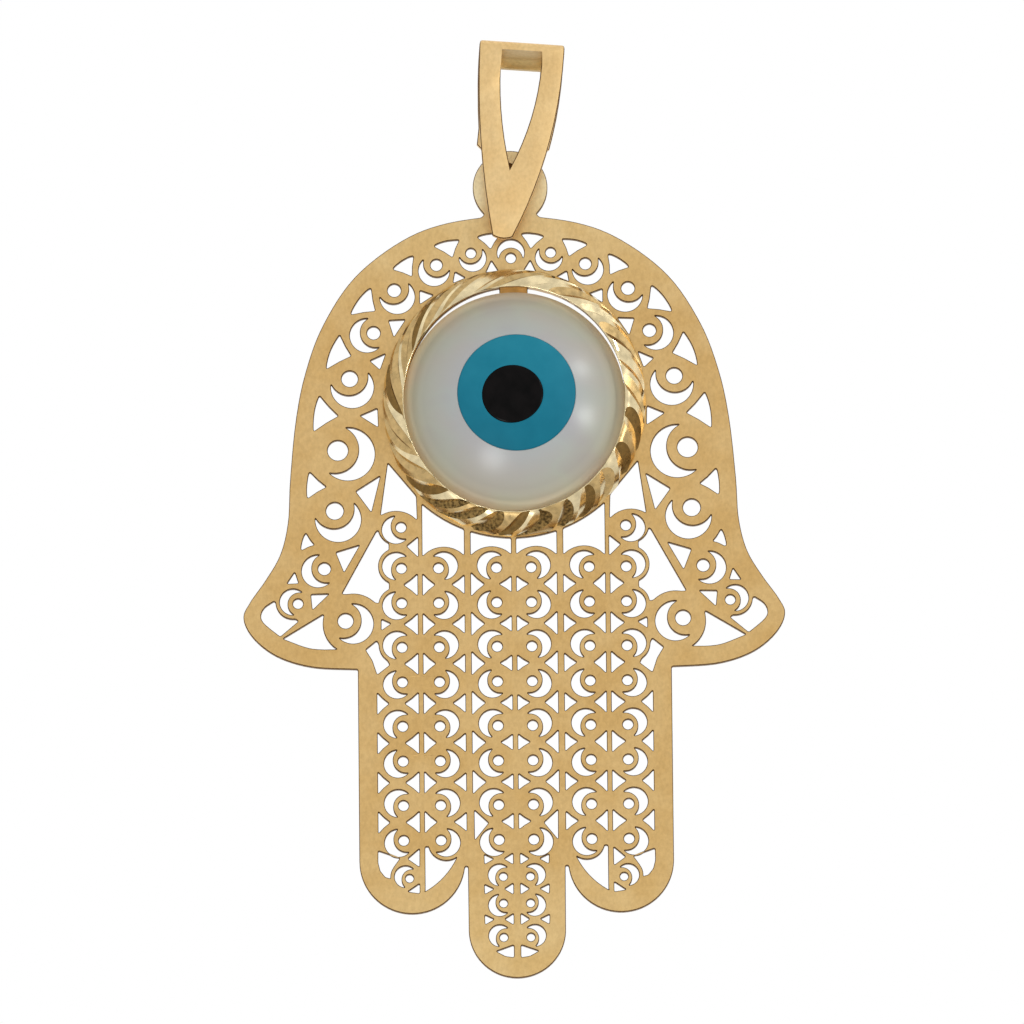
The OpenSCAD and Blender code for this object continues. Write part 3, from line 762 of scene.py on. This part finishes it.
def from_axis(tree, reach):
    """Distance from the eye's axis, 1 at reach metres."""
    node = tree.nodes.new("ShaderNodeTexGradient")
    node.gradient_type = "SPHERICAL"
    flat = 1 / reach
    tree.links.new(object_pattern(tree, (flat, 0, flat), PEARL_C), node.inputs["Vector"])
    return node.outputs["Fac"]


pearl, tree, shader = finish("mother_of_pearl", Roughness=0.27)
# painted reflection: the pearl is painted pale gold at its rim, for the collar's gold reflected in it and
# against the shade under the collar's lip
rim_painted_reflection = ramp(tree, from_axis(tree, 0.0062), (0.0, (1.0, 0.92, 0.68)), (0.06, (0.85, 0.79, 0.60)),
                (0.11, (0.49, 0.465, 0.365)), (0.2, (0.40, 0.39, 0.33)), (0.45, (0.39, 0.40, 0.40)))
sheen = ramp(tree, cloud(tree, object_pattern(tree, (1, 1, 1.6)), 0.0045, 2),
             (0.35, (0.93, 0.90, 0.93)), (0.5, (0.97, 1.0, 0.97)), (0.65, (1.0, 0.96, 0.95)))
tree.links.new(multiply(tree, rim_painted_reflection, sheen), shader.inputs["Base Color"])

blue, tree, shader = finish("blue_inlay", Roughness=0.45, Specular_IOR_Level=0.12)
mottle = cloud(tree, object_pattern(tree), 0.0012, 3)
blues = ramp(tree, mottle, (0.3, (0.010, 0.190, 0.270)), (0.7, (0.016, 0.215, 0.300)))
# painted shade: the blue is made darker towards the bottom
shade = with_height(tree, -3, 3.4, (0.0, (0.3, 0.70, 0.74)), (0.45, (0.6, 0.82, 0.86)), (1.0, grey(1.0)))
tree.links.new(multiply(tree, blues, shade), shader.inputs["Base Color"])

black, tree, shader = finish("black_inlay", Roughness=0.2, Specular_IOR_Level=0.05)
mottle = cloud(tree, object_pattern(tree), 0.0008, 3)
tree.links.new(ramp(tree, mottle, (0.3, (0.002, 0.002, 0.002)), (0.7, (0.006, 0.005, 0.005))),
               shader.inputs["Base Color"])
print("finishes of the eye made")

# %% Spin the stone, the ring and the disc
STONE_R, STONE_EDGE, STONE_RISE = 6.04, 0.5, 2.4
IRIS_R, PUPIL_R, INLAY, SEAM, PUPIL_TALL = 3.22, 1.66, 0.9, 0.004, 0.965
IRIS_SHIFT, PUPIL_SHIFT = Vector((0.12, 0.2)), Vector((-0.1, 0.04))
EASE, UNDER = 0.03, 0.02    # where each rounded seam begins, and the fitting gap under each piece
DOME_R = (STONE_R ** 2 + STONE_RISE ** 2) / (2 * STONE_RISE)
TOP = STONE_EDGE + STONE_RISE


def dome_at(radius):
    """Height of the stone's curve at a distance from its axis."""
    return TOP - DOME_R + math.sqrt(DOME_R ** 2 - radius ** 2)


def along_dome(r0, r1, count):
    return [(r, dome_at(r)) for r in (r0 + (r1 - r0) * i / count for i in range(count + 1))]


def spun(name, profile, steps=128):
    """A closed shape from a profile of (radius, height), spun round the axis."""
    bm = bmesh.new()
    spin_round(bm, profile, steps, closed=profile[0][0] > 0)
    bmesh.ops.recalc_face_normals(bm, faces=bm.faces)
    for face in bm.faces:
        face.smooth = True
    mesh = mesh_from(bm, name)
    mesh.set_sharp_from_angle(angle=math.radians(50))
    return mesh


def slid(mesh, outer, inner, r_outer, r_inner, low, tall=1):
    """Slides a spun mesh along the dome: by inner within r_inner, by outer past r_outer. Nothing below
    the height low moves. Unless tall is 1, what lies within r_inner is also made less tall and a little
    uneven."""
    centre = Vector((0, 0, TOP - DOME_R))
    for v in mesh.vertices:
        share = min(max((r_outer - v.co.xy.length) / max(r_outer - r_inner, 0.01), 0), 1)
        shift = outer.lerp(inner, share)
        round_it = math.atan2(v.co.y, v.co.x)
        uneven = 0.012 * math.cos(2 * round_it - 1.2) + 0.007 * math.cos(3 * round_it)
        if tall != 1:
            v.co.xy *= 1 + uneven * share
            v.co.y *= 1 + (tall - 1) * share
        if v.co.z > low and shift.length > 0:
            angle = math.asin(shift.length / (DOME_R - 0.5))
            v.co = centre + Matrix.Rotation(angle, 3, Vector((-shift.y, shift.x, 0))) @ (v.co - centre)
    return mesh


seat = IRIS_R + SEAM
stone_profile = ([(0, 0), (STONE_R - 0.08, 0), (STONE_R, 0.08), (STONE_R, STONE_EDGE)]
                 + along_dome(STONE_R - 0.01, seat + EASE, 24)
                 + [(seat, dome_at(seat) - EASE), (seat, TOP - INLAY), (0, TOP - INLAY)])
iris_floor, pupil_floor = TOP - INLAY + UNDER, TOP - 0.6 * INLAY
iris_profile = ([(PUPIL_R + SEAM, pupil_floor), (PUPIL_R + SEAM, dome_at(PUPIL_R) - 0.02)]
                + along_dome(PUPIL_R + EASE, IRIS_R - EASE, 12)
                + [(IRIS_R, dome_at(IRIS_R) - EASE), (IRIS_R, iris_floor), (0, iris_floor),
                   (0, pupil_floor)])
pupil_profile = ([(0, pupil_floor + UNDER), (PUPIL_R, pupil_floor + UNDER),
                  (PUPIL_R, dome_at(PUPIL_R) - EASE)]
                 + along_dome(PUPIL_R - 0.04, 0.0, 12))
stone_front = sheet_back - (SHEET + UNDER) * MM
ALL_OF_IT = 99      # past any piece's radius
no_shift = Vector((0, 0))
stone_mesh = slid(spun("pearl_stone", stone_profile), no_shift, IRIS_SHIFT, STONE_R, seat + EASE,
                  STONE_EDGE)
iris_mesh = slid(spun("blue_ring", iris_profile), IRIS_SHIFT, PUPIL_SHIFT, IRIS_R - EASE,
                 PUPIL_R + EASE, 0, PUPIL_TALL)
pupil_mesh = slid(spun("black_disc", pupil_profile), PUPIL_SHIFT, PUPIL_SHIFT, ALL_OF_IT, ALL_OF_IT - 1, 0,
                  PUPIL_TALL)
pearl_stone = show("pearl_stone", stand_up(stone_mesh, stone_at, stone_front), pearl)
blue_ring = show("blue_ring", stand_up(iris_mesh, stone_at, stone_front), blue)
black_disc = show("black_disc", stand_up(pupil_mesh, stone_at, stone_front), black)

# %% [markdown]
# ## The bail
# The bail is one strip folded over, cut to a V with a slot. The solid model already has its exact form
# with sharp edges. A copy of it is merged, its flat faces are joined, and its edges are rounded with
# the bevel operator, because a polished strip never has a sharp edge.

# %% Copy the bail and round its edges
bm = bmesh.new()
bm.from_mesh(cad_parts["bail"].data)
bmesh.ops.scale(bm, vec=(1000, 1000, 1000), verts=bm.verts)
bmesh.ops.remove_doubles(bm, verts=bm.verts, dist=0.001)
# cuts through the slots and through the post keep every flat face free of holes: [place, direction]
SLOT_CUTS = [((0, 0, -3), (0, 0, 1)), ((0, 0, -6.5), (0, 0, 1)), ((0.55, 0, 0), (1, 0, 0))]
for at, across in SLOT_CUTS:
    halves = bmesh.ops.bisect_plane(bm, geom=bm.verts[:] + bm.edges[:] + bm.faces[:], dist=0.0005,
                                    plane_co=at, plane_no=across)
    for part in halves["geom_cut"]:
        if isinstance(part, bmesh.types.BMEdge):
            part.seam = True
bmesh.ops.dissolve_limit(bm, angle_limit=math.radians(1), verts=bm.verts, edges=bm.edges,
                         delimit={"SEAM"})


def sharp_edges(angle):
    return [e for e in bm.edges if len(e.link_faces) == 2 and e.calc_face_angle() > math.radians(angle)]


def rounded(edges, offset, segments):
    """Rounds these edges, and returns the new faces."""
    return bmesh.ops.bevel(bm, geom=edges, offset=offset, offset_type="OFFSET", segments=segments,
                           profile=0.5, affect="EDGES", material=-1, clamp_overlap=False)["faces"]


# the strip's two shoulders at the fold are rounded off towards the front and the back
CORNER = 0.16
for way in (-1, 1):
    shoulder = [v for v in bm.verts if v.co.x * way > 1.5]
    top = max(v.co.z for v in shoulder)
    for v in shoulder:
        up_in = CORNER - (top - v.co.z)
        if up_in > 0:
            v.co.x -= way * (CORNER - math.sqrt(CORNER ** 2 - min(up_in, CORNER) ** 2))
# painted shade: the insides are painted a darker gold, and the end of the post deep in the point of the
# slot takes the near-black edge finish
inside = Vector((0, -0.4, -1.5))
front = min(v.co.y for v in bm.verts)
for face in bm.faces:
    at = face.calc_center_median()
    way = inside - at
    way.x = 0
    if at.z > -2 and abs(face.normal.x) < 0.5 and way.normalized().dot(face.normal) > 0.3:
        face.material_index = 2
    elif face.normal.y < -0.95 and 0.1 < at.y - front < 0.35:
        face.material_index = 1
# the slots' top edges lie hard against the folds, so these stay as they are
free_edges = [e for e in sharp_edges(50)
              if not all(v.co.z > -0.9 and abs(v.co.x) < 1.95 for v in e.verts)]
# painted shade: the rounded edges take the near-black edge finish, for the shade and dark reflection along
# the strip's outline
for face in rounded(free_edges, 0.05, 2):
    face.material_index = 1
bmesh.ops.scale(bm, vec=(MM, MM, MM), verts=bm.verts)
for face in bm.faces:
    face.smooth = True
bail_mesh = mesh_from(bm, "folded_bail")
bail_mesh.set_sharp_from_angle(angle=math.radians(30))
folded_bail = show("folded_bail", bail_mesh, strip_gold, edge_shade_gold, inner_shade_gold)

# %% [markdown]
# ## Who moves with whom
# The bail is the fixed body and the hand swings on it. Each piece rides on its body and stands for the
# solid it dresses, which is hidden.

# %% Ride on the bodies and hide the solids
for piece, body, node, slot in (
        (pierced_sheet, "hand", "hand_plate", "gold"), (bright_collar, "hand", "hand_plate", "gold"),
        (pearl_stone, "hand", "eye_shell", "mother_of_pearl"),
        (blue_ring, "hand", "eye_iris", "blue_inlay"),
        (black_disc, "hand", "eye_pupil", "black_inlay"),
        (folded_bail, "bail", "bail", "gold")):
    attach(piece, body)
    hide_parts(node)
print("six pieces ride on two bodies")

# %% [markdown]
# ## Room, light and camera
# The photograph is a cut-out on white, taken from slightly below with a long lens, so the camera stands
# more than a metre away. A bright surround gives gold its even tone, and three soft lamps give the
# stone its two glows. The floor is far below, because the pendant hangs.

# %% Floor and surround
bm = bmesh.new()
bmesh.ops.create_grid(bm, x_segments=1, y_segments=1, size=12)
bmesh.ops.translate(bm, vec=(0, 0, -1.6), verts=bm.verts)
pale, tree, shader = finish("pale_floor", Roughness=0.9)
shader.inputs["Base Color"].default_value = (*grey(0.85), 1)
floor = show("floor", mesh_from(bm, "floor"), pale)

world = bpy.data.worlds.new("studio")
bpy.context.scene.world = world
world.use_nodes = True
tree = world.node_tree
where = tree.nodes.new("ShaderNodeTexCoord")
split = tree.nodes.new("ShaderNodeSeparateXYZ")
tree.links.new(where.outputs["Generated"], split.inputs["Vector"])
half = tree.nodes.new("ShaderNodeMath")
half.operation = "MULTIPLY_ADD"
half.inputs[1].default_value = half.inputs[2].default_value = 0.5
tree.links.new(split.outputs["Y"], half.inputs[0])
tree.links.new(ramp(tree, half.outputs[0], (0.0, grey(0.81)), (0.35, grey(0.86)), (0.8, grey(1.0))),
               tree.nodes["Background"].inputs["Color"])
tree.nodes["Background"].inputs["Strength"].default_value = 1.0
bpy.context.scene.view_settings.view_transform = "Standard"

# %% Soft lamps
eye_point = Vector((eye_x, sheet_back - SHEET * MM, eye_z))


def soft_lamp(name, to_right, upwards, distance, size, power):
    """A round soft lamp that looks at the eye from that many degrees to the right and up."""
    a, b = math.radians(to_right), math.radians(upwards)
    way = Vector((math.sin(a) * math.cos(b), -math.cos(a) * math.cos(b), math.sin(b)))
    lamp = bpy.data.lights.new(name, "AREA")
    lamp.shape, lamp.size, lamp.energy = "DISK", size, power
    holder = bpy.data.objects.new(name, lamp)
    bpy.context.scene.collection.objects.link(holder)
    holder.location = eye_point + way * distance
    holder.rotation_euler = way.to_track_quat("Z", "Y").to_euler()


soft_lamp("lamp_right_high", 53, 28, 0.8, 0.13, 0.6)
soft_lamp("lamp_right_low", 52, -3, 0.8, 0.15, 0.85)
soft_lamp("lamp_low_left", -19, -35, 0.8, 0.22, 0.95)

# %% Camera
BELOW, ROLL, DISTANCE = 9.5, 0.567, 1.2     # degrees, degrees, metres
PICTURE, SENSOR = 1024, 36
EYE_PIXEL = (512.2, 403.5)      # where the eye's centre lies in the photograph
PIXEL = 12 / 220 * MM           # the 12 mm stone is 220 pixels wide
e, roll = math.radians(BELOW), math.radians(ROLL)
forward = Vector((0, math.cos(e), math.sin(e)))
level_up, level_right = Vector((0, -math.sin(e), math.cos(e))), Vector((1, 0, 0))
right = level_right * math.cos(roll) - level_up * math.sin(roll)
up = level_up * math.cos(roll) + level_right * math.sin(roll)
target = (eye_point - up * (PICTURE / 2 - EYE_PIXEL[1]) * PIXEL
          - right * (EYE_PIXEL[0] - PICTURE / 2) * PIXEL)
camera = bpy.data.cameras.new("camera")
camera.sensor_width = SENSOR
camera.lens = SENSOR * DISTANCE / (PICTURE * PIXEL)
camera.clip_start, camera.clip_end = 0.05, 60
holder = bpy.data.objects.new("camera", camera)
bpy.context.scene.collection.objects.link(holder)
pose = Matrix((right, up, -forward)).transposed().to_4x4()
pose.translation = target - forward * DISTANCE
holder.matrix_world = pose
bpy.context.scene.camera = holder
print("lens:", round(camera.lens), "mm")
